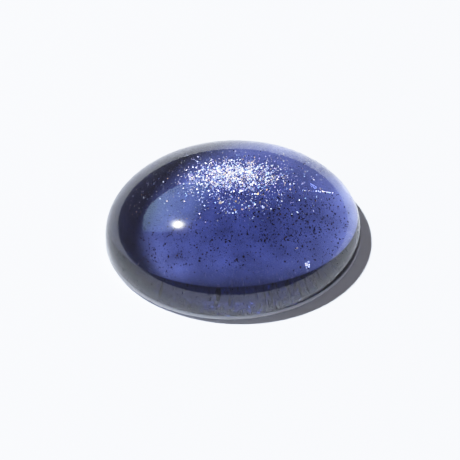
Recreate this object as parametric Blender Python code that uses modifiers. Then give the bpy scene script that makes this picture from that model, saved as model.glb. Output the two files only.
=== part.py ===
"""An oval cabochon of iolite: one polished stone with a smooth dome, a low steep wall and a flat base.

Metres, +Z up, +X along the stone's length. The origin is the centre of the base, where the stone rests.
"""

import math

import bpy
from mathutils import Matrix

# The stone as cut: the oval's two diameters and the height of its dome
LENGTH = 0.009
WIDTH = 0.007
HEIGHT = 0.0028
# The wall that a setting's bezel grips stands upright up to here, where the dome springs from it
WALL_HEIGHT = 0.00033
# The base's edge is ground off so that it doesn't chip
CHAMFER = 0.00012
# The dome's section: 2 is an ellipse, and a higher number makes its shoulder fuller
SHOULDER = 2.3

# How finely the smooth form is faceted
SEGMENTS_AROUND = 80
RINGS_ON_DOME = 22

# The colour of the stone in daylight, seen through its dome, and the look of its polish
BODY_COLOUR = (0.056, 0.078, 0.32, 1.0)
ROUGHNESS = 0.03
REFRACTIVE_INDEX = 1.54

MERGE_DISTANCE = 0.000001


def clear_scene():
    """Removes every object, so that the file holds the stone alone."""
    for thing in list(bpy.data.objects):
        bpy.data.objects.remove(thing, do_unlink=True)


def section_points():
    """The stone's half section in the XZ plane, from the top of the dome down its outside to the centre of the base."""
    reach = LENGTH / 2
    rise = HEIGHT - WALL_HEIGHT
    points = []
    for ring in range(RINGS_ON_DOME + 1):
        angle = math.pi / 2 * (1 - ring / RINGS_ON_DOME)
        out = reach * math.cos(angle)
        up = WALL_HEIGHT + rise * math.sin(angle) ** (2 / SHOULDER)
        points.append((out, 0.0, up))
    # The top lies on the axis exactly, where the turned shape closes
    points[0] = (0.0, 0.0, HEIGHT)
    points.append((reach, 0.0, CHAMFER))
    points.append((reach - CHAMFER, 0.0, 0.0))
    points.append((0.0, 0.0, 0.0))
    return points


def polished_iolite():
    """Iolite with a glassy polish: clear, violet-blue, and darker where the stone is thick."""
    material = bpy.data.materials.new("polished_iolite")
    material.use_nodes = True
    shader = material.node_tree.nodes["Principled BSDF"]
    shader.inputs["Base Color"].default_value = BODY_COLOUR
    shader.inputs["Roughness"].default_value = ROUGHNESS
    shader.inputs["Metallic"].default_value = 0.0
    shader.inputs["IOR"].default_value = REFRACTIVE_INDEX
    shader.inputs["Transmission Weight"].default_value = 1.0
    material.diffuse_color = BODY_COLOUR
    return material


def turned_stone(collection):
    """The section turned round the stone's axis as a round cabochon."""
    points = section_points()
    mesh = bpy.data.meshes.new("cabochon_section")
    edges = [(i, i + 1) for i in range(len(points) - 1)]
    mesh.from_pydata(points, edges, [])
    stone = bpy.data.objects.new("cabochon_section", mesh)
    collection.objects.link(stone)
    turn = stone.modifiers.new("turn", "SCREW")
    turn.axis = "Z"
    turn.angle = 2 * math.pi
    turn.steps = SEGMENTS_AROUND
    turn.render_steps = SEGMENTS_AROUND
    turn.use_merge_vertices = True
    turn.merge_threshold = MERGE_DISTANCE
    turn.use_smooth_shade = True
    return stone


def oval_stone(collection):
    """The round form drawn in across its width, which makes the oval with one section all round."""
    turned = turned_stone(collection)
    bpy.context.view_layer.update()
    evaluated = turned.evaluated_get(bpy.context.evaluated_depsgraph_get())
    mesh = bpy.data.meshes.new_from_object(evaluated)
    mesh.name = "cabochon"
    mesh.transform(Matrix.Diagonal((1.0, WIDTH / LENGTH, 1.0, 1.0)))
    mesh.shade_smooth()
    mesh.set_sharp_from_angle(angle=math.radians(30))
    bpy.data.objects.remove(turned, do_unlink=True)
    stone = bpy.data.objects.new("cabochon", mesh)
    collection.objects.link(stone)
    stone.data.materials.append(polished_iolite())
    return stone


clear_scene()
parts = bpy.data.collections.new("iolite_cabochon")
bpy.context.scene.collection.children.link(parts)
oval_stone(parts)
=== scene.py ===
"""An oval iolite cabochon with metallic scales inside, lying on white card in one strong light."""
import math

import bpy
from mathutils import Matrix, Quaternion, Vector, noise


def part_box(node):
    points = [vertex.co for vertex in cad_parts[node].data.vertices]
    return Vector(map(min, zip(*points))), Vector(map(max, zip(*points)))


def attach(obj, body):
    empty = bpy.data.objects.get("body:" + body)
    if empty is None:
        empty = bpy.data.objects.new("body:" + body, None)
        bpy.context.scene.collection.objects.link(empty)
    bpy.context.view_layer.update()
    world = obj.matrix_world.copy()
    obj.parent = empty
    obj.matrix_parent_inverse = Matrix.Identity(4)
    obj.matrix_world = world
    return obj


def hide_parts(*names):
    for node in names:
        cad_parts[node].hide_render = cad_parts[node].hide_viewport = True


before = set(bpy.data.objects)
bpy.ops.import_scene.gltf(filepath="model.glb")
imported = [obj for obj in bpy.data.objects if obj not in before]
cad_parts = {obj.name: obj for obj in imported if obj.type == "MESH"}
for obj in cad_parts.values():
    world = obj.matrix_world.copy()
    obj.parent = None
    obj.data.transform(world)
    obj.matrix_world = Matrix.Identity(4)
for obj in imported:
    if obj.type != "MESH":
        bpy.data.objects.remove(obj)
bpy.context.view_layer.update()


# The cabochon
# One crystal of iolite, sawn to an oval blank, ground to a dome by hand against a turning wheel and
# polished. Its low wall stands upright for a bezel. Its base is flat, with the edge ground off.

stone_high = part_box("cabochon")[1]
HALF_LENGTH = stone_high.x
HALF_WIDTH = stone_high.y
HEIGHT = stone_high.z
WALL_HEIGHT = 0.00033
CHAMFER = 0.00012
# The lap that grinds the base's edge off leaves the wall matt too, all the way up
GROUND_HEIGHT = WALL_HEIGHT
# The dome's section: 2 is an ellipse, and a higher number makes its shoulder fuller
SHOULDER = 2.3
SEGMENTS_AROUND = 200
RINGS_ON_BASE = 16
RINGS_ON_EDGE = 8
RINGS_ON_WALL = 8
RINGS_ON_DOME = 110
# Corners closer than this are welded into one
WELD_DISTANCE = 0.0000001

# Iolite bends light by this much. It lets this colour through, and takes the rest away at this rate for
# each metre of depth
REFRACTIVE_INDEX = 1.54
DEPTH_COLOUR = "#6e83c2"
DEPTH_DENSITY = 800.0

# Patches of haze in the polish lie 1.1 mm apart. The lap's grit is drawn 0.08 mm apart, which is coarser
# than it is, because finer grit wouldn't show
HAZE_PER_MILLIMETRE = 0.9
GRIT_PER_MILLIMETRE = 12.0
# So many millimetres are a metre
MILLIMETRES = 1000


def linear(hex_colour):
    """An sRGB hex colour as linear red, green, blue and alpha."""
    shares = [int(hex_colour[i:i + 2], 16) / 255 for i in (1, 3, 5)]
    curved = [c / 12.92 if c <= 0.04045 else ((c + 0.055) / 1.055) ** 2.4 for c in shares]
    return (*curved, 1.0)


def add(tree, kind, links=None, **settings):
    """Adds a node. settings are its own properties, and links gives inputs a value, a socket or a node.

    Mix and Random Value have a socket of one name for each kind of value, so theirs go by number.
    """
    made = tree.nodes.new(kind)
    for name, value in settings.items():
        setattr(made, name, value)
    for name, value in (links or {}).items():
        if isinstance(value, bpy.types.Node):
            value = value.outputs[0]
        if isinstance(value, bpy.types.NodeSocket):
            tree.links.new(value, made.inputs[name])
        else:
            made.inputs[name].default_value = value
    return made


def form_tree(name, inputs):
    """A Geometry Nodes tree with named inputs, each (name, kind), and its input and output sockets."""
    tree = bpy.data.node_groups.new(name, "GeometryNodeTree")
    tree.interface.new_socket("Geometry", in_out="OUTPUT", socket_type="NodeSocketGeometry")
    for label, kind in inputs:
        tree.interface.new_socket(label, in_out="INPUT", socket_type=kind)
    return tree, tree.nodes.new("NodeGroupInput").outputs, tree.nodes.new("NodeGroupOutput").inputs


def grown(name, tree, values):
    """The mesh that a tree makes with these values of its named inputs, as an object at the origin."""
    seed_mesh = bpy.data.meshes.new(name + "_seed")
    holder = bpy.data.objects.new(name + "_seed", seed_mesh)
    bpy.context.scene.collection.objects.link(holder)
    modifier = holder.modifiers.new("form", "NODES")
    modifier.node_group = tree
    for item in tree.interface.items_tree:
        if item.in_out == "INPUT":
            modifier[item.identifier] = values[item.name]
    bpy.context.view_layer.update()
    evaluated = holder.evaluated_get(bpy.context.evaluated_depsgraph_get())
    mesh = bpy.data.meshes.new_from_object(evaluated)
    mesh.name = name
    holder.modifiers.remove(modifier)
    bpy.data.objects.remove(holder)
    bpy.data.meshes.remove(seed_mesh)
    piece = bpy.data.objects.new(name, mesh)
    bpy.context.scene.collection.objects.link(piece)
    return piece


def iolite_depth(tree):
    """Gives a material the depth of iolite: the further light goes in it, the more it is violet-blue."""
    depth = add(tree, "ShaderNodeVolumeAbsorption", {"Color": linear(DEPTH_COLOUR),
                                                     "Density": DEPTH_DENSITY})
    tree.links.new(depth.outputs[0], tree.nodes["Material Output"].inputs["Volume"])


def polished_iolite():
    """Clear iolite with a bright polish: violet-blue by its depth, with a glassy skin.

    Where the polish is less even there is a trace of haze, and the last and finest polishing lines leave
    a soft glow round each highlight.
    """
    material = bpy.data.materials.new("polished_iolite")
    material.use_nodes = True
    tree = material.node_tree
    shader = tree.nodes["Principled BSDF"]
    shader.inputs["IOR"].default_value = REFRACTIVE_INDEX
    shader.inputs["Transmission Weight"].default_value = 1.0
    shader.inputs["Base Color"].default_value = linear("#fdfdff")
    shader.inputs["Coat Weight"].default_value = 0.12
    shader.inputs["Coat Roughness"].default_value = 0.12
    place = add(tree, "ShaderNodeTexCoord").outputs["Object"]
    haze = add(tree, "ShaderNodeTexNoise", {"Vector": place, "Scale": HAZE_PER_MILLIMETRE * MILLIMETRES,
                                            "Detail": 2.0})
    spread = add(tree, "ShaderNodeMapRange", {"Value": haze, "From Min": 0.35, "From Max": 0.75,
                                              "To Min": 0.004, "To Max": 0.02})
    tree.links.new(spread.outputs["Result"], shader.inputs["Roughness"])
    # Lamps reach what lies inside the stone, while the card beyond it stays in the stone's shadow
    path = add(tree, "ShaderNodeLightPath").outputs
    back_side = add(tree, "ShaderNodeNewGeometry").outputs["Backfacing"]
    from_inside = add(tree, "ShaderNodeMath", {0: path["Is Shadow Ray"], 1: back_side}, operation="MULTIPLY")
    no_card_yet = add(tree, "ShaderNodeMath", {0: path["Diffuse Depth"], 1: 0.5}, operation="LESS_THAN")
    leaving = add(tree, "ShaderNodeMath", {0: from_inside, 1: no_card_yet}, operation="MULTIPLY")
    skin = add(tree, "ShaderNodeMixShader", {0: leaving, 1: shader.outputs["BSDF"],
                                             2: add(tree, "ShaderNodeBsdfTransparent")})
    tree.links.new(skin.outputs[0], tree.nodes["Material Output"].inputs["Surface"])
    iolite_depth(tree)
    return material


def ground_iolite():
    """Iolite as the fine lap leaves it, matt and only half clear: a pale line along the foot, where the
    base's edge is ground off, and a darker grey wall above it, which is half polished again. The foot's pale
    tone is partly the ground edge's own and partly a painted highlight: the thin line of light the edge
    catches."""
    material = bpy.data.materials.new("ground_iolite")
    material.use_nodes = True
    tree = material.node_tree
    shader = tree.nodes["Principled BSDF"]
    shader.inputs["IOR"].default_value = REFRACTIVE_INDEX
    shader.inputs["Transmission Weight"].default_value = 0.4
    place = add(tree, "ShaderNodeTexCoord").outputs["Object"]
    grit = add(tree, "ShaderNodeTexNoise", {"Vector": place, "Scale": GRIT_PER_MILLIMETRE * MILLIMETRES,
                                            "Detail": 2.0})
    # The foot's pale tone is partly the ground edge's own and partly a painted highlight along the foot
    foot = add(tree, "ShaderNodeMix", {"Factor": grit, 6: linear("#d0d2d8"), 7: linear("#ecedf2")},
               data_type="RGBA")
    wall = add(tree, "ShaderNodeMix", {"Factor": grit, 6: linear("#7c8290"), 7: linear("#9498a6")},
               data_type="RGBA")
    height = add(tree, "ShaderNodeSeparateXYZ", {0: place}).outputs["Z"]
    up_wall = add(tree, "ShaderNodeMapRange", {"Value": height, "From Min": CHAMFER,
                                               "From Max": GROUND_HEIGHT})
    tone = add(tree, "ShaderNodeMix", {"Factor": up_wall, 6: foot.outputs[2], 7: wall.outputs[2]},
               data_type="RGBA")
    tree.links.new(tone.outputs[2], shader.inputs["Base Color"])
    rough = add(tree, "ShaderNodeMapRange", {"Value": grit, "To Min": 0.4, "To Max": 0.65})
    tree.links.new(rough.outputs["Result"], shader.inputs["Roughness"])
    iolite_depth(tree)
    return material


def cabochon_tree():
    """Four bands turned round the stone's axis, welded to one skin: base, ground edge, wall and dome."""
    tree, given, result = form_tree("cabochon form", [
        ("Half Length", "NodeSocketFloat"), ("Half Width", "NodeSocketFloat"), ("Height", "NodeSocketFloat"),
        ("Wall Height", "NodeSocketFloat"), ("Chamfer", "NodeSocketFloat"),
        ("Ground Height", "NodeSocketFloat"), ("Shoulder", "NodeSocketFloat"),
        ("Polished", "NodeSocketMaterial"), ("Ground", "NodeSocketMaterial")])
    oval = add(tree, "ShaderNodeCombineXYZ", {"X": given["Half Length"], "Y": given["Half Width"]})
    edge = add(tree, "ShaderNodeMath", {0: given["Chamfer"], 1: given["Half Length"]}, operation="DIVIDE")
    inner = add(tree, "ShaderNodeMath", {0: 1.0, 1: edge}, operation="SUBTRACT")

    # Each band starts as a flat square grid, whose X goes once round the stone and whose Y goes up the band
    at = add(tree, "ShaderNodeSeparateXYZ", {0: add(tree, "GeometryNodeInputPosition")})
    turn = add(tree, "ShaderNodeMath", {0: at.outputs["X"], 1: 2 * math.pi, 2: math.pi},
               operation="MULTIPLY_ADD")
    share = add(tree, "ShaderNodeMath", {0: at.outputs["Y"], 1: 0.5}, operation="ADD")
    quarter = add(tree, "ShaderNodeMath", {0: share, 1: math.pi / 2}, operation="MULTIPLY")
    rising = add(tree, "ShaderNodeMath", {0: quarter}, operation="SINE")
    closing = add(tree, "ShaderNodeMath", {0: quarter}, operation="COSINE")
    along = add(tree, "ShaderNodeMath", {0: turn}, operation="COSINE")
    across = add(tree, "ShaderNodeMath", {0: turn}, operation="SINE")
    circle = add(tree, "ShaderNodeCombineXYZ", {"X": along, "Y": across})
    rim = add(tree, "ShaderNodeVectorMath", {0: circle, 1: oval}, operation="MULTIPLY")

    # How far out each band reaches and how high it climbs, from its start to its end
    base_reach = add(tree, "ShaderNodeMath", {0: rising, 1: inner}, operation="MULTIPLY")
    edge_reach = add(tree, "ShaderNodeMath", {0: share, 1: edge, 2: inner}, operation="MULTIPLY_ADD")
    edge_climb = add(tree, "ShaderNodeMath", {0: share, 1: given["Chamfer"]}, operation="MULTIPLY")
    upright = add(tree, "ShaderNodeMath", {0: given["Wall Height"], 1: given["Chamfer"]},
                  operation="SUBTRACT")
    wall_climb = add(tree, "ShaderNodeMath", {0: share, 1: upright, 2: given["Chamfer"]},
                     operation="MULTIPLY_ADD")
    arch = add(tree, "ShaderNodeMath", {0: given["Height"], 1: given["Wall Height"]}, operation="SUBTRACT")
    power = add(tree, "ShaderNodeMath", {0: 2.0, 1: given["Shoulder"]}, operation="DIVIDE")
    swell = add(tree, "ShaderNodeMath", {0: rising, 1: power}, operation="POWER")
    dome_climb = add(tree, "ShaderNodeMath", {0: swell, 1: arch, 2: given["Wall Height"]},
                     operation="MULTIPLY_ADD")

    join = add(tree, "GeometryNodeJoinGeometry")
    bands = [(RINGS_ON_BASE, base_reach, 0.0), (RINGS_ON_EDGE, edge_reach, edge_climb),
             (RINGS_ON_WALL, 1.0, wall_climb), (RINGS_ON_DOME, closing, dome_climb)]
    for rings, reach, climb in bands:
        grid = add(tree, "GeometryNodeMeshGrid", {"Size X": 1.0, "Size Y": 1.0,
                                                  "Vertices X": SEGMENTS_AROUND + 1, "Vertices Y": rings})
        out = add(tree, "ShaderNodeVectorMath", {0: rim, "Scale": reach}, operation="SCALE")
        lift = add(tree, "ShaderNodeCombineXYZ", {"Z": climb})
        spot = add(tree, "ShaderNodeVectorMath", {0: out, 1: lift}, operation="ADD")
        band = add(tree, "GeometryNodeSetPosition", {"Geometry": grid, "Position": spot})
        tree.links.new(band.outputs[0], join.inputs[0])
    skin = add(tree, "GeometryNodeMergeByDistance", {"Geometry": join, "Distance": WELD_DISTANCE})
    smooth = add(tree, "GeometryNodeSetShadeSmooth", {0: skin, "Shade Smooth": True})
    real = add(tree, "GeometryNodeRealizeInstances", {0: smooth})
    polished = add(tree, "GeometryNodeSetMaterial", {"Geometry": real, "Material": given["Polished"]})
    above = add(tree, "FunctionNodeCompare", {0: at.outputs["Z"], 1: 0.0}, operation="GREATER_THAN")
    below = add(tree, "FunctionNodeCompare", {0: at.outputs["Z"], 1: given["Ground Height"]},
                operation="LESS_THAN")
    on_wall = add(tree, "FunctionNodeBooleanMath", {0: above, 1: below}, operation="AND")
    ground = add(tree, "GeometryNodeSetMaterial", {"Geometry": polished, "Selection": on_wall,
                                                   "Material": given["Ground"]})
    tree.links.new(ground.outputs[0], result[0])
    return tree


cabochon = grown("polished_cabochon", cabochon_tree(), {
    "Half Length": HALF_LENGTH, "Half Width": HALF_WIDTH, "Height": HEIGHT, "Wall Height": WALL_HEIGHT,
    "Chamfer": CHAMFER, "Ground Height": GROUND_HEIGHT, "Shoulder": SHOULDER,
    "Polished": polished_iolite(), "Ground": ground_iolite()})
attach(cabochon, "root")
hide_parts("cabochon")


# The scales
# Thin flat scales of iron oxide that settled in the crystal while it grew. In one cloud they all lie
# in one plane and light up together. The others lie any way round and show dark against the light.

SCALE_SIDES = 6
SCALE_THICKNESS = 0.000002
# A scale's width is at least this share of its length, and this power makes the large ones rare
NARROWEST = 0.45
RARENESS = 3.0
# The scales lie in drifts 0.28 mm apart. Each has its own bar between these, and is kept where the
# drift is thicker than that
DRIFTS_PER_MILLIMETRE = 3.6
LOWEST_BAR, HIGHEST_BAR = 0.36, 0.62
# The bright cloud's scales face this way: so far from upright, and towards this side of the stone
CLOUD_TILT = math.radians(13.7)
CLOUD_TOWARD = math.radians(192)
CLOUD_FACING = Vector((math.sin(CLOUD_TILT) * math.cos(CLOUD_TOWARD),
                       math.sin(CLOUD_TILT) * math.sin(CLOUD_TOWARD), math.cos(CLOUD_TILT)))
# A scale's smoothness goes through its whole range this often while its tone goes through its own once,
# so that each tone has smooth and dull scales
SMOOTHNESS_TURNS = 13.0


def bright_scale():
    """Iron oxide in scales thin enough to shimmer: a mirror of pale gold, silver, rose or pale blue."""
    material = bpy.data.materials.new("bright_iron_scale")
    material.use_nodes = True
    tree = material.node_tree
    shader = tree.nodes["Principled BSDF"]
    shader.inputs["Metallic"].default_value = 1.0
    tone = add(tree, "ShaderNodeAttribute", attribute_name="scale_tone").outputs["Fac"]
    ramp = add(tree, "ShaderNodeValToRGB", {"Fac": tone})
    stops = [(0.0, "#b8945c"), (0.25, "#cfc6b0"), (0.5, "#dde8ea"), (0.78, "#b3a2cc"), (1.0, "#a4d6e8")]
    while len(ramp.color_ramp.elements) < len(stops):
        ramp.color_ramp.elements.new(0.5)
    for element, (at, colour) in zip(ramp.color_ramp.elements, stops):
        element.position = at
        element.color = linear(colour)
    tree.links.new(ramp.outputs["Color"], shader.inputs["Base Color"])
    # Some are smooth and flash white, most are duller and keep their colour
    turns = add(tree, "ShaderNodeMath", {0: tone, 1: SMOOTHNESS_TURNS}, operation="MULTIPLY")
    chance = add(tree, "ShaderNodeMath", {0: turns}, operation="FRACT")
    rough = add(tree, "ShaderNodeMapRange", {"Value": chance, "To Min": 0.24, "To Max": 0.72})
    tree.links.new(rough.outputs["Result"], shader.inputs["Roughness"])
    return material


def dark_scale():
    """Iron oxide in thicker scales: brown-black, with a dull metal sheen."""
    material = bpy.data.materials.new("dark_iron_scale")
    material.use_nodes = True
    tree = material.node_tree
    shader = tree.nodes["Principled BSDF"]
    shader.inputs["Metallic"].default_value = 1.0
    tone = add(tree, "ShaderNodeAttribute", attribute_name="scale_tone").outputs["Fac"]
    colour = add(tree, "ShaderNodeMix", {"Factor": tone, 6: linear("#1c1414"), 7: linear("#4a342c")},
                 data_type="RGBA")
    tree.links.new(colour.outputs[2], shader.inputs["Base Color"])
    rough = add(tree, "ShaderNodeMapRange", {"Value": tone, "To Min": 0.55, "To Max": 0.75})
    tree.links.new(rough.outputs["Result"], shader.inputs["Roughness"])
    return material


def scales_tree():
    """Points in a cloud inside the stone, each with a six-sided scale that faces one way, more or less."""
    tree, given, result = form_tree("scales in the stone", [
        ("Count", "NodeSocketInt"), ("Middle", "NodeSocketVector"), ("Reach", "NodeSocketVector"),
        ("Crowding", "NodeSocketFloat"), ("Slant", "NodeSocketFloat"), ("Smallest", "NodeSocketFloat"),
        ("Largest", "NodeSocketFloat"), ("Facing", "NodeSocketVector"), ("Spread", "NodeSocketFloat"),
        ("Skin", "NodeSocketFloat"), ("Seed", "NodeSocketInt"), ("Material", "NodeSocketMaterial")])

    draws = []

    def drawn(low, high, kind="FLOAT"):
        """A random value for each point, from a stream of its own."""
        seed = add(tree, "ShaderNodeMath", {0: given["Seed"], 1: float(len(draws))}, operation="ADD")
        # The numbers of the node's sockets for the low end, the high end and the value
        low_end, high_end, out = {"FLOAT": (2, 3, 1), "FLOAT_VECTOR": (0, 1, 0)}[kind]
        draws.append(add(tree, "FunctionNodeRandomValue", {low_end: low, high_end: high, "Seed": seed},
                         data_type=kind))
        return draws[-1].outputs[out]

    # Where each lies: evenly in the cloud's box, or crowded towards its middle by the sum of three draws
    even = drawn((-1.0, -1.0, -1.0), (1.0, 1.0, 1.0), "FLOAT_VECTOR")
    second = drawn((-1.0, -1.0, -1.0), (1.0, 1.0, 1.0), "FLOAT_VECTOR")
    third = drawn((-1.0, -1.0, -1.0), (1.0, 1.0, 1.0), "FLOAT_VECTOR")
    pair = add(tree, "ShaderNodeVectorMath", {0: even, 1: second}, operation="ADD")
    three = add(tree, "ShaderNodeVectorMath", {0: pair, 1: third}, operation="ADD")
    crowded = add(tree, "ShaderNodeVectorMath", {0: three, "Scale": 0.5}, operation="SCALE")
    share = add(tree, "ShaderNodeMix", {"Factor": given["Crowding"], 4: even, 5: crowded},
                data_type="VECTOR")
    strewn = add(tree, "ShaderNodeVectorMath", {0: share.outputs[1], 1: given["Reach"], 2: given["Middle"]},
                 operation="MULTIPLY_ADD")
    # A slanting cloud leans back, or forward with a minus, as it rises
    share_up = add(tree, "ShaderNodeSeparateXYZ", {0: share.outputs[1]}).outputs["Z"]
    reach_up = add(tree, "ShaderNodeSeparateXYZ", {0: given["Reach"]}).outputs["Z"]
    rise = add(tree, "ShaderNodeMath", {0: share_up, 1: reach_up}, operation="MULTIPLY")
    back = add(tree, "ShaderNodeMath", {0: rise, 1: given["Slant"]}, operation="MULTIPLY")
    lean = add(tree, "ShaderNodeCombineXYZ", {"Y": back})
    leaned = add(tree, "ShaderNodeVectorMath", {0: strewn, 1: lean}, operation="ADD")
    points = add(tree, "GeometryNodePoints", {"Count": given["Count"], "Position": leaned})

    # Those that would stand out of the stone, or too near its skin, are taken away
    here = add(tree, "GeometryNodeInputPosition")
    at = add(tree, "ShaderNodeSeparateXYZ", {0: here})
    long_room = add(tree, "ShaderNodeMath", {0: HALF_LENGTH, 1: given["Skin"]}, operation="SUBTRACT")
    wide_room = add(tree, "ShaderNodeMath", {0: HALF_WIDTH, 1: given["Skin"]}, operation="SUBTRACT")
    high_room = add(tree, "ShaderNodeMath", {0: HEIGHT - WALL_HEIGHT, 1: given["Skin"]},
                    operation="SUBTRACT")
    room = add(tree, "ShaderNodeCombineXYZ", {"X": long_room, "Y": wide_room, "Z": 1.0})
    filled = add(tree, "ShaderNodeVectorMath", {0: here, 1: room}, operation="DIVIDE")
    flat = add(tree, "ShaderNodeVectorMath", {0: filled, 1: (1.0, 1.0, 0.0)}, operation="MULTIPLY")
    outward = add(tree, "ShaderNodeVectorMath", {0: flat, 1: flat}, operation="DOT_PRODUCT")
    above = add(tree, "ShaderNodeMath", {0: at.outputs["Z"], 1: WALL_HEIGHT}, operation="SUBTRACT")
    raised = add(tree, "ShaderNodeMath", {0: above, 1: 0.0}, operation="MAXIMUM")
    climb = add(tree, "ShaderNodeMath", {0: raised, 1: high_room}, operation="DIVIDE")
    upward = add(tree, "ShaderNodeMath", {0: climb, 1: SHOULDER}, operation="POWER")
    level = add(tree, "ShaderNodeMath", {0: outward.outputs["Value"], 1: upward}, operation="ADD")
    outside = add(tree, "FunctionNodeCompare", {0: level, 1: 1.0}, operation="GREATER_THAN")
    low = add(tree, "FunctionNodeCompare", {0: at.outputs["Z"], 1: given["Skin"]}, operation="LESS_THAN")
    away = add(tree, "FunctionNodeBooleanMath", {0: outside, 1: low}, operation="OR")
    # The rest lie in drifts, with gaps between them
    drift = add(tree, "ShaderNodeTexNoise", {"Vector": here, "Scale": DRIFTS_PER_MILLIMETRE * MILLIMETRES,
                                             "Detail": 2.0})
    bar = drawn(LOWEST_BAR, HIGHEST_BAR)
    sparse = add(tree, "FunctionNodeCompare", {0: drift, 1: bar}, operation="LESS_THAN")
    lost = add(tree, "FunctionNodeBooleanMath", {0: away, 1: sparse}, operation="OR")
    kept = add(tree, "GeometryNodeDeleteGeometry", {0: points, 1: lost}, domain="POINT")

    # How each lies, how large it is and which tone it has
    stray = drawn((-1.0, -1.0, -1.0), (1.0, 1.0, 1.0), "FLOAT_VECTOR")
    own_way = add(tree, "ShaderNodeVectorMath", {0: stray, "Scale": given["Spread"]}, operation="SCALE")
    way = add(tree, "ShaderNodeVectorMath", {0: given["Facing"], 1: own_way}, operation="ADD")
    spin = add(tree, "ShaderNodeCombineXYZ", {"Z": drawn(0.0, math.pi)})
    spun = add(tree, "FunctionNodeEulerToRotation", {0: spin})
    laid = add(tree, "FunctionNodeAlignRotationToVector", {"Rotation": spun, "Vector": way}, axis="Z")
    chance = add(tree, "ShaderNodeMath", {0: drawn(0.0, 1.0), 1: RARENESS}, operation="POWER")
    size = add(tree, "ShaderNodeMapRange", {"Value": chance, "To Min": given["Smallest"],
                                            "To Max": given["Largest"]})
    narrow = add(tree, "ShaderNodeMath", {0: size, 1: drawn(NARROWEST, 1.0)}, operation="MULTIPLY")
    stretch = add(tree, "ShaderNodeCombineXYZ", {"X": size, "Y": narrow, "Z": SCALE_THICKNESS})
    scale = add(tree, "GeometryNodeMeshCylinder", {"Vertices": SCALE_SIDES, "Radius": 1.0, "Depth": 1.0})
    placed = add(tree, "GeometryNodeInstanceOnPoints", {"Points": kept, "Instance": scale,
                                                        "Rotation": laid, "Scale": stretch})
    toned = add(tree, "GeometryNodeStoreNamedAttribute", {"Geometry": placed, "Name": "scale_tone",
                                                          "Value": drawn(0.0, 1.0)},
                data_type="FLOAT", domain="INSTANCE")
    real = add(tree, "GeometryNodeRealizeInstances", {0: toned})
    facet = add(tree, "GeometryNodeSetShadeSmooth", {0: real, "Shade Smooth": False})
    dressed = add(tree, "GeometryNodeSetMaterial", {"Geometry": facet, "Material": given["Material"]})
    tree.links.new(dressed.outputs[0], result[0])
    return tree


scales = scales_tree()
bright = bright_scale()
dark = dark_scale()
# The small bright clouds lie so that they send the key's light to the camera
STREAK_FACING = Vector((-0.137, -0.078, 0.987))
LEFT_FACING = Vector((-0.33, -0.09, 0.94))
LOW_FACING = Vector((-0.165, -0.226, 0.960))
LONE_FACING = Vector((-0.181, -0.188, 0.965))
# So weak a facing that each scale's own stray outweighs it
ANY_WAY = Vector((0.0, 0.0, 0.3))
# Name, count, middle and reach in millimetres, crowding, slant, radii in micrometres, facing, spread,
# distance from the stone's skin in millimetres, material
swarms = [
    ("glitter_cloud", 6000, (0.05, 1.10, 1.75), (1.4, 0.6, 0.8), 1.0, -0.3, (7, 28),
     CLOUD_FACING, 0.11, 0.10, bright),
    ("glitter_fringe", 2900, (0.35, 0.8, 1.7), (2.4, 1.2, 0.7), 1.0, -0.3, (8, 28),
     CLOUD_FACING, 0.19, 0.10, bright),
    ("broad_scales", 110, (0.35, 0.0, 2.0), (0.9, 0.45, 0.3), 0.0, -0.3, (24, 66),
     CLOUD_FACING, 0.28, 0.15, bright),
    ("left_flecks", 150, (-2.8, 0.7, 1.1), (0.9, 0.9, 0.5), 0.5, 0.0, (7, 20),
     LEFT_FACING, 0.55, 0.15, bright),
    ("streak", 120, (2.90, 0.69, 1.2), (0.42, 0.02, 0.02), 1.0, 0.0, (10, 30),
     STREAK_FACING, 0.03, 0.10, bright),
    ("low_glints", 26, (2.38, -1.86, 1.0), (0.06, 0.20, 0.06), 1.0, 0.0, (14, 42),
     LOW_FACING, 0.06, 0.10, bright),
    ("lone_glints", 5, (1.97, -1.27, 1.0), (0.08, 0.05, 0.05), 1.0, 0.0, (12, 30),
     LONE_FACING, 0.04, 0.10, bright),
    ("strewn_scales", 6400, (0.0, 0.2, 1.4), (4.3, 2.4, 1.1), 0.0, 0.0, (9, 32), ANY_WAY, 1.0, 0.34, dark),
    ("dark_cloud", 4200, (2.0, -0.35, 1.1), (2.2, 1.4, 0.6), 0.8, 0.0, (11, 42), ANY_WAY, 1.0, 0.36, dark),
    ("left_specks", 1700, (-1.5, -0.8, 0.95), (1.9, 1.0, 0.5), 0.3, 0.0, (11, 38), ANY_WAY, 1.0, 0.34, dark),
    ("dark_knot", 50, (0.17, -1.75, 1.0), (0.28, 0.16, 0.2), 1.0, 0.0, (16, 46), ANY_WAY, 1.0, 0.35, dark),
    ("dark_trail", 110, (-1.9, -1.55, 1.0), (0.75, 0.05, 0.03), 0.0, 0.0, (7, 18), ANY_WAY, 1.0, 0.35, dark),
]
MICROMETRES = 1e6
# Each swarm's streams of random values start so far on from the last swarm's
SEED_STEP = 100
for order, swarm in enumerate(swarms):
    name, count, middle, reach, crowding, slant, radii, way, spread, skin, material = swarm
    piece = grown(name, scales, {
        "Count": count, "Middle": Vector(middle) / MILLIMETRES, "Reach": Vector(reach) / MILLIMETRES,
        "Crowding": crowding, "Slant": slant, "Smallest": radii[0] / MICROMETRES,
        "Largest": radii[1] / MICROMETRES, "Facing": way, "Spread": spread, "Skin": skin / MILLIMETRES,
        "Seed": SEED_STEP * order, "Material": material})
    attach(piece, "root")


# The card
# A sheet of plain white card, uncoated and matt, much larger than the stone. The stone lies on it loose,
# on its flat base, with a film of air between the two.

AIR_GAP = 0.00001
CARD_HALF = 1.5
CARD_COLOUR = "#e6edfb"


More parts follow.
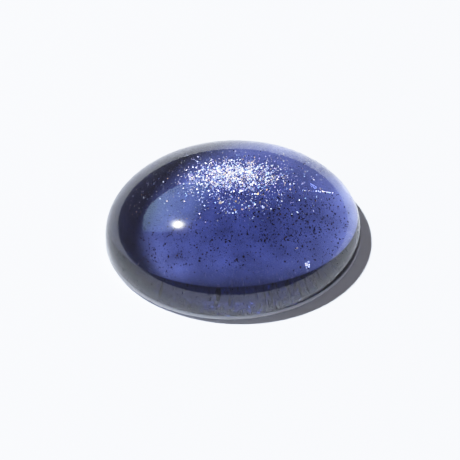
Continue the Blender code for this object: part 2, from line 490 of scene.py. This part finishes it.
def plain_card(name, colour):
    """Uncoated card: matt, with a tooth too fine to see from here."""
    material = bpy.data.materials.new(name)
    material.use_nodes = True
    shader = material.node_tree.nodes["Principled BSDF"]
    shader.inputs["Base Color"].default_value = linear(colour)
    shader.inputs["Roughness"].default_value = 0.9
    shader.inputs["Specular IOR Level"].default_value = 0.1
    return material


bpy.ops.mesh.primitive_plane_add(size=2 * CARD_HALF, location=(0, 0, -AIR_GAP))
card = bpy.context.object
card.name = "white_card"
card.data.materials.append(plain_card("white_card", CARD_COLOUR))


# The painted light pool
# Painted light: a glowing sheet on the card under the stone stands in for the light that the dome gathers
# there. It falls in an oval as large as the stone, pushed away from the key, and is weaker where it has come
# through more of the stone.

# The way from the stone to the key, and what the card sends back where the key falls on it freely
KEY_AZIMUTH = math.radians(155.8)
KEY_ELEVATION = math.radians(62.5)
CARD_RADIANCE = 2.0
# The painted pool is all that the sheet sends back there, so the sheet under it is painted dark grey:
# painted shade
POOL_SHEET_SHADE_COLOUR = "#5c5c66"
# Lengths in the pool are shares of the base's half length and half width
POOL_PUSH = 0.345
POOL_AWAY_FROM = math.radians(160)
POOL_SOFTNESS = 0.19
# Towards the front the wall takes the light away, and the pool fades to this share of its strength
POOL_FRONT_FROM, POOL_FRONT_TO = -0.25, -0.58
POOL_FRONT_LEFT = 0.2
# In the front left corner it fades further in: from so far out, over these ways out, left and forward
POOL_CORNER_FROM = 0.56
POOL_CORNER_OVER = (0.1, 0.4, 0.25)
# One place at the back right gets less light: its middle, how far it reaches and how deep it is
POOL_SHADE_AT = (0.62, 0.56)
POOL_SHADE_REACH = 0.30
POOL_SHADE_DEPTH = 0.6
POOL_GATHER = 1.12
# More falls on the side towards the key, and a bright rim on the side away from it
POOL_NEAR_SIDE_GAIN = 0.20
POOL_RIM_GAIN = 0.9
POOL_RIM_FROM, POOL_RIM_TO = 0.60, 0.80
# The hand-ground dome isn't quite even, so the gathered light has faint ripples 0.8 mm apart, closer
# from front to back, in three layers of finer and weaker ones
POOL_RIPPLE = 0.35
RIPPLES_PER_MILLIMETRE = 1.3
RIPPLE_CLOSER = 1.6
RIPPLE_FADE = 0.8
RIPPLE_FINER = 2.0
RIPPLE_LAYERS = 3
POOL_HEIGHT = AIR_GAP / 2
POOL_RINGS = 60
POOL_AROUND = 180
HALVINGS = 16


def direction(azimuth, elevation):
    """The way from the stone to a light, its azimuth counted from +X towards +Y."""
    return Vector((math.cos(azimuth) * math.cos(elevation), math.sin(azimuth) * math.cos(elevation),
                   math.sin(elevation)))


def inside_stone(point):
    """Whether a point above the base lies in the stone."""
    climb = max(point.z - WALL_HEIGHT, 0.0) / (HEIGHT - WALL_HEIGHT)
    return (point.x / HALF_LENGTH) ** 2 + (point.y / HALF_WIDTH) ** 2 + climb ** SHOULDER < 1.0


def run_through_stone(x, y, way):
    """How far light that lands here on the base has come through the stone, found by halving."""
    short, far = 0.0, 2 * HALF_LENGTH
    for _ in range(HALVINGS):
        half = (short + far) / 2
        if inside_stone(Vector((x, y, 0.0)) + way * half):
            short = half
        else:
            far = half
    return short


def eased(share):
    """A share held between 0 and 1 that starts and ends gently."""
    held = min(max(share, 0.0), 1.0)
    return held * held * (3 - 2 * held)


def painted_pool_light(x, y, way):
    """The colour and strength of the painted pool of light at a point of the base."""
    across, along = x / HALF_LENGTH, y / HALF_WIDTH
    rim = math.hypot(across, along)
    push_x, push_y = POOL_PUSH * math.cos(POOL_AWAY_FROM), POOL_PUSH * math.sin(POOL_AWAY_FROM)
    lit = eased((1.0 - math.hypot(across + push_x, along + push_y)) / POOL_SOFTNESS)
    front = eased((along - POOL_FRONT_FROM) / (POOL_FRONT_TO - POOL_FRONT_FROM))
    over_out, over_left, over_front = POOL_CORNER_OVER
    corner = eased((rim - POOL_CORNER_FROM) / over_out)
    corner *= eased(-across / over_left) * eased(-along / over_front)
    lit *= 1.0 - (1.0 - POOL_FRONT_LEFT) * max(front, corner)
    gather = POOL_GATHER * (1.0 - POOL_NEAR_SIDE_GAIN * across)
    at_rim = eased((rim - POOL_RIM_FROM) / (POOL_RIM_TO - POOL_RIM_FROM))
    gather *= 1.0 + POOL_RIM_GAIN * max(across, 0.0) * at_rim
    ripple_place = Vector((x, RIPPLE_CLOSER * y, 0.0)) * (RIPPLES_PER_MILLIMETRE * MILLIMETRES)
    gather *= 1.0 + POOL_RIPPLE * noise.fractal(ripple_place, RIPPLE_FADE, RIPPLE_FINER, RIPPLE_LAYERS)
    off = math.hypot(across - POOL_SHADE_AT[0], along - POOL_SHADE_AT[1]) / POOL_SHADE_REACH
    gather *= 1.0 - POOL_SHADE_DEPTH * eased(1.0 - off)
    strength = CARD_RADIANCE * gather * lit
    run = run_through_stone(x, y, way)
    return [strength * math.exp(-DEPTH_DENSITY * (1 - share) * run) for share in linear(DEPTH_COLOUR)[:3]]


# The key's light is bent as it goes into the stone
key_way = direction(KEY_AZIMUTH, KEY_ELEVATION)
bent_flat = Vector((key_way.x, key_way.y, 0.0)) / REFRACTIVE_INDEX
bent_way = Vector((bent_flat.x, bent_flat.y, math.sqrt(1 - bent_flat.length_squared)))
spots = [(0.0, 0.0)]
faces = []
for ring in range(1, POOL_RINGS + 1):
    share = ring / POOL_RINGS
    first = len(spots)
    for step in range(POOL_AROUND):
        turn = 2 * math.pi * step / POOL_AROUND
        spots.append(((HALF_LENGTH - CHAMFER) * share * math.cos(turn),
                      (HALF_WIDTH - CHAMFER) * share * math.sin(turn)))
    for step in range(POOL_AROUND):
        here, ahead = first + step, first + (step + 1) % POOL_AROUND
        if ring == 1:
            faces.append((0, here, ahead))
        else:
            faces.append((here - POOL_AROUND, here, ahead, ahead - POOL_AROUND))
pool_mesh = bpy.data.meshes.new("painted_light_pool")
pool_mesh.from_pydata([(x, y, -POOL_HEIGHT) for x, y in spots], [], faces)
glow = pool_mesh.attributes.new("painted_pool_light", "FLOAT_COLOR", "POINT")
for index, (x, y) in enumerate(spots):
    glow.data[index].color = (*painted_pool_light(x, y, bent_way), 1.0)
pool = bpy.data.objects.new("painted_light_pool", pool_mesh)
bpy.context.scene.collection.objects.link(pool)
# The sheet glows with the painted pool of light, though it is no lamp
painted_pool_sheet = plain_card("painted_pool_sheet", POOL_SHEET_SHADE_COLOUR)
pool_sheet_shader = painted_pool_sheet.node_tree.nodes["Principled BSDF"]
pool_colour = add(painted_pool_sheet.node_tree, "ShaderNodeAttribute", attribute_name="painted_pool_light")
painted_pool_sheet.node_tree.links.new(pool_colour.outputs["Color"], pool_sheet_shader.inputs["Emission Color"])
pool_sheet_shader.inputs["Emission Strength"].default_value = 1.0
pool.data.materials.append(painted_pool_sheet)


# The room and its lights
# A dim room with plain walls, lighter and bluer towards the horizon, with one strong round lamp and one
# window that lets in the open sky through a slanting gap behind a thin curtain.

ROOM_STRENGTH = 0.53
# Each stop is the height of the way and its colour
ROOM_STOPS = [(0.0, "#bec2da"), (0.45, "#aca6a2"), (1.0, "#857868")]
world = bpy.data.worlds.new("dim_room")
world.use_nodes = True
room_tree = world.node_tree
room_way = add(room_tree, "ShaderNodeTexCoord").outputs["Generated"]
way_up = add(room_tree, "ShaderNodeSeparateXYZ", {0: room_way})
room_light = add(room_tree, "ShaderNodeValToRGB", {"Fac": way_up.outputs["Z"]})
room_light.color_ramp.elements.new(0.5)
for element, (at, colour) in zip(room_light.color_ramp.elements, ROOM_STOPS):
    element.position = at
    element.color = linear(colour)
room_tree.links.new(room_light.outputs["Color"], room_tree.nodes["Background"].inputs["Color"])
room_tree.nodes["Background"].inputs["Strength"].default_value = ROOM_STRENGTH
bpy.context.scene.world = world

KEY_DISTANCE = 0.8
KEY_SIZE = 0.046
KEY_RADIANCE = 2330.0
lamp = bpy.data.lights.new("key", "AREA")
lamp.shape = "DISK"
lamp.size = KEY_SIZE
lamp.energy = KEY_RADIANCE * math.pi * (math.pi * KEY_SIZE * KEY_SIZE / 4)
key = bpy.data.objects.new("key", lamp)
bpy.context.scene.collection.objects.link(key)
key.location = key_way * KEY_DISTANCE
key.rotation_mode = "QUATERNION"
key.rotation_quaternion = key_way.to_track_quat("Z", "Y")

# The window stands behind the key. Azimuth and elevation in degrees and strength, of each corner of the
# gap and of the spot where the sky is brightest
WINDOW_DISTANCE = 1.2
WINDOW_SKY = "#b0d4f6"
WINDOW_RADIANCE = 3.6
WINDOW_CORNERS = [(166, 38, 0.5), (169, 52, 0.5), (165, 62, 0.5), (140, 68, 0.3), (115, 62, 0.3),
                  (104, 50, 0.3), (102, 38, 0.4), (112, 38, 0.6), (122, 38, 0.9), (135, 37, 0.95),
                  (150, 37, 0.9)]
WINDOW_BRIGHTEST = (140, 45, 0.95)
# Past each corner the sky fades out behind the curtain, over this share of the way from the brightest spot
WINDOW_FADE = 0.12
curtain = []
for azimuth, elevation, _ in WINDOW_CORNERS:
    faded_azimuth = azimuth + WINDOW_FADE * (azimuth - WINDOW_BRIGHTEST[0])
    faded_elevation = elevation + WINDOW_FADE * (elevation - WINDOW_BRIGHTEST[1])
    curtain.append((faded_azimuth, faded_elevation, 0.0))
corners = [WINDOW_BRIGHTEST] + WINDOW_CORNERS + curtain
window_points = []
for azimuth, elevation, _ in corners:
    window_points.append(direction(math.radians(azimuth), math.radians(elevation)) * WINDOW_DISTANCE)
count = len(WINDOW_CORNERS)
window_faces = []
for here in range(1, count + 1):
    ahead = here % count + 1
    window_faces.append((0, here, ahead))
    window_faces.append((here, here + count, ahead + count, ahead))
window_mesh = bpy.data.meshes.new("window")
window_mesh.from_pydata(window_points, [], window_faces)
fade = window_mesh.attributes.new("sky_strength", "FLOAT", "POINT")
for index, (_, _, strength) in enumerate(corners):
    fade.data[index].value = strength
open_sky = bpy.data.materials.new("open_sky")
open_sky.use_nodes = True
sky_tree = open_sky.node_tree
sky_tree.nodes.remove(sky_tree.nodes["Principled BSDF"])
sky_share = add(sky_tree, "ShaderNodeAttribute", attribute_name="sky_strength").outputs["Fac"]
radiance = add(sky_tree, "ShaderNodeMath", {0: sky_share, 1: WINDOW_RADIANCE}, operation="MULTIPLY")
sky = add(sky_tree, "ShaderNodeEmission", {"Color": linear(WINDOW_SKY), "Strength": radiance})
# The room behind shows through where the sky is faint
see_through = add(sky_tree, "ShaderNodeBsdfTransparent")
over_room = add(sky_tree, "ShaderNodeAddShader", {0: sky, 1: see_through})
sky_tree.links.new(over_room.outputs[0], sky_tree.nodes["Material Output"].inputs["Surface"])
window_mesh.materials.append(open_sky)
window = bpy.data.objects.new("window", window_mesh)
bpy.context.scene.collection.objects.link(window)
# It is there for the stone's polish to mirror, and for nothing else
window.visible_camera = False
window.visible_diffuse = False
window.visible_transmission = False


# The camera
# A long lens on a stand above the front of the stone, tipped down to it and turned a little askew. The
# film's response is true up to half of white, then has a soft shoulder that keeps the card from burning out.

# The stone's length and the centre of its base in the photo, in pixels of a frame this wide
FRAME_SIDE = 460
LENGTH_IN_PIXELS = 255.44
BASE_CENTRE_PIXEL = (233.1, 237.9)
PIXEL = 2 * HALF_LENGTH / LENGTH_IN_PIXELS
VIEW_ELEVATION = math.radians(55.8)
VIEW_TURN = math.radians(1.4)
VIEW_ROLL = math.radians(0.96)
LENS = 300.0
SENSOR = 36.0

toward = Vector((-math.sin(VIEW_TURN) * math.cos(VIEW_ELEVATION),
                 -math.cos(VIEW_TURN) * math.cos(VIEW_ELEVATION), math.sin(VIEW_ELEVATION)))
facing = toward.to_track_quat("Z", "Y") @ Quaternion((0.0, 0.0, 1.0), -VIEW_ROLL)
right = facing @ Vector((1, 0, 0))
up = facing @ Vector((0, 1, 0))
half_frame = FRAME_SIDE / 2
aim_right = (half_frame - BASE_CENTRE_PIXEL[0]) * PIXEL
aim_up = (BASE_CENTRE_PIXEL[1] - half_frame) * PIXEL
lens = bpy.data.cameras.new("long_lens")
lens.lens = LENS
lens.sensor_width = SENSOR
lens.clip_start = 0.005
lens.clip_end = 5.0
camera = bpy.data.objects.new("camera", lens)
bpy.context.scene.collection.objects.link(camera)
camera.location = right * aim_right + up * aim_up + toward * (FRAME_SIDE * PIXEL * LENS / SENSOR)
camera.rotation_mode = "QUATERNION"
camera.rotation_quaternion = facing
bpy.context.scene.camera = camera

# Each point is a level of light and how bright it is shown, both as shares of white
WHITE_LEVEL = 2.4
TONE_POINTS = [(0.25, 0.25), (0.5, 0.49), (0.8, 0.71), (1.1, 0.86), (1.45, 0.94)]
# The curves are red, green, blue and the one for all three
CURVE_FOR_ALL = 3
view = bpy.context.scene.view_settings
view.view_transform = "Standard"
view.use_curve_mapping = True
view.curve_mapping.white_level = (WHITE_LEVEL, WHITE_LEVEL, WHITE_LEVEL)
tone_curve = view.curve_mapping.curves[CURVE_FOR_ALL]
for level, shown in TONE_POINTS:
    tone_curve.points.new(level / WHITE_LEVEL, shown)
view.curve_mapping.update()
